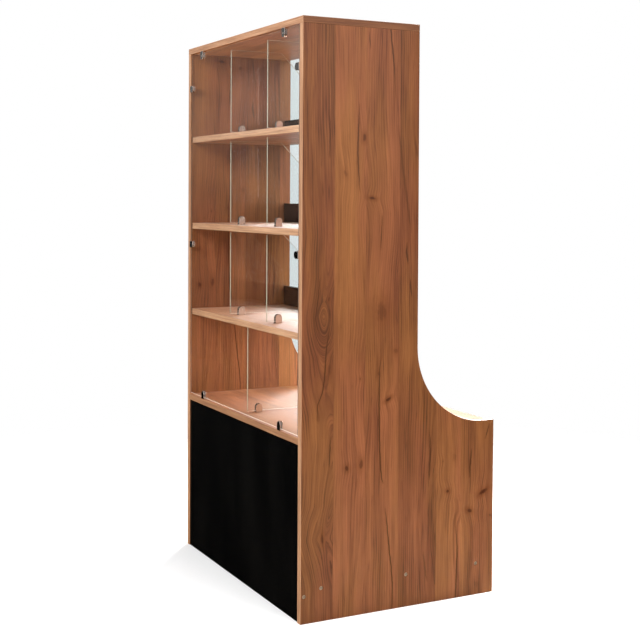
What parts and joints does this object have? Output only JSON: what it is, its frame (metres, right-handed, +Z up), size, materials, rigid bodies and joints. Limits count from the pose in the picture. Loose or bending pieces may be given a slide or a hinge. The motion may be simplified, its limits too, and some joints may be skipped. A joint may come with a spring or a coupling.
{
  "type": "pastry display case",
  "caption": "Tall stepped pastry display case in wood-decor board: glazed front on metal clips, open service side, shelves with black lips and glass dividers, storage under a deck.",
  "frame": {"origin": "on the floor, at the middle of the case's bounding box", "axes": "+Z up, -Y out of the glazed front, +Y out of the open service side, +X to the right as seen from the front"},
  "size_m": [0.816, 0.6026, 1.568],
  "materials": {
    "oak_board": "reddish rustic oak decor, fine texture",
    "black_board": "smooth black decor",
    "clear_glass": "polished clear sheet",
    "clip_metal": "bright plated",
    "screw_steel": "zinc plated",
    "cam_metal": "dull cast"
  },
  "bodies": {
    "root": {"left_side_panel": "oak_board", "right_side_panel": "oak_board", "top_panel": "oak_board", "upper_shelf": "oak_board", "middle_shelf": "oak_board", "lower_shelf": "oak_board", "deck_panel": "oak_board", "bottom_board": "oak_board", "front_lower_panel": "black_board", "upper_shelf_lip": "black_board", "middle_shelf_lip": "black_board", "lower_shelf_lip": "black_board", "front_glass_pane": "clear_glass", "upper_divider_left": "clear_glass", "upper_divider_right": "clear_glass", "middle_divider_left": "clear_glass", "middle_divider_right": "clear_glass", "lower_divider_left": "clear_glass", "lower_divider_right": "clear_glass", "deck_divider": "clear_glass", "pane_clip_top_left": "clip_metal", "pane_clip_top_right": "clip_metal", "pane_clip_bottom_left": "clip_metal", "pane_clip_bottom_right": "clip_metal", "pane_clip_left_upper": "clip_metal", "pane_clip_left_lower": "clip_metal", "pane_clip_right_upper": "clip_metal", "pane_clip_right_lower": "clip_metal", "upper_divider_left_clip_front": "clip_metal", "upper_divider_left_clip_rear": "clip_metal", "upper_divider_right_clip_front": "clip_metal", "upper_divider_right_clip_rear": "clip_metal", "middle_divider_left_clip_front": "clip_metal", "middle_divider_left_clip_rear": "clip_metal", "middle_divider_right_clip_front": "clip_metal", "middle_divider_right_clip_rear": "clip_metal", "lower_divider_left_clip_front": "clip_metal", "lower_divider_left_clip_rear": "clip_metal", "lower_divider_right_clip_front": "clip_metal", "lower_divider_right_clip_rear": "clip_metal", "deck_divider_clip_front": "clip_metal", "deck_divider_clip_rear": "clip_metal", "left_front_panel_screw": "screw_steel", "left_bottom_screw_front": "screw_steel", "left_bottom_screw_middle": "screw_steel", "left_bottom_screw_rear": "screw_steel", "right_front_panel_screw": "screw_steel", "right_bottom_screw_front": "screw_steel", "right_bottom_screw_middle": "screw_steel", "right_bottom_screw_rear": "screw_steel", "upper_shelf_cam_left": "cam_metal", "upper_shelf_cam_right": "cam_metal", "middle_shelf_cam_left": "cam_metal", "middle_shelf_cam_right": "cam_metal", "lower_shelf_cam_left": "cam_metal", "lower_shelf_cam_right": "cam_metal", "deck_panel_cam_left": "cam_metal", "deck_panel_cam_right": "cam_metal", "top_panel_cam_left": "cam_metal", "top_panel_cam_right": "cam_metal"}
  },
  "joints": []
}
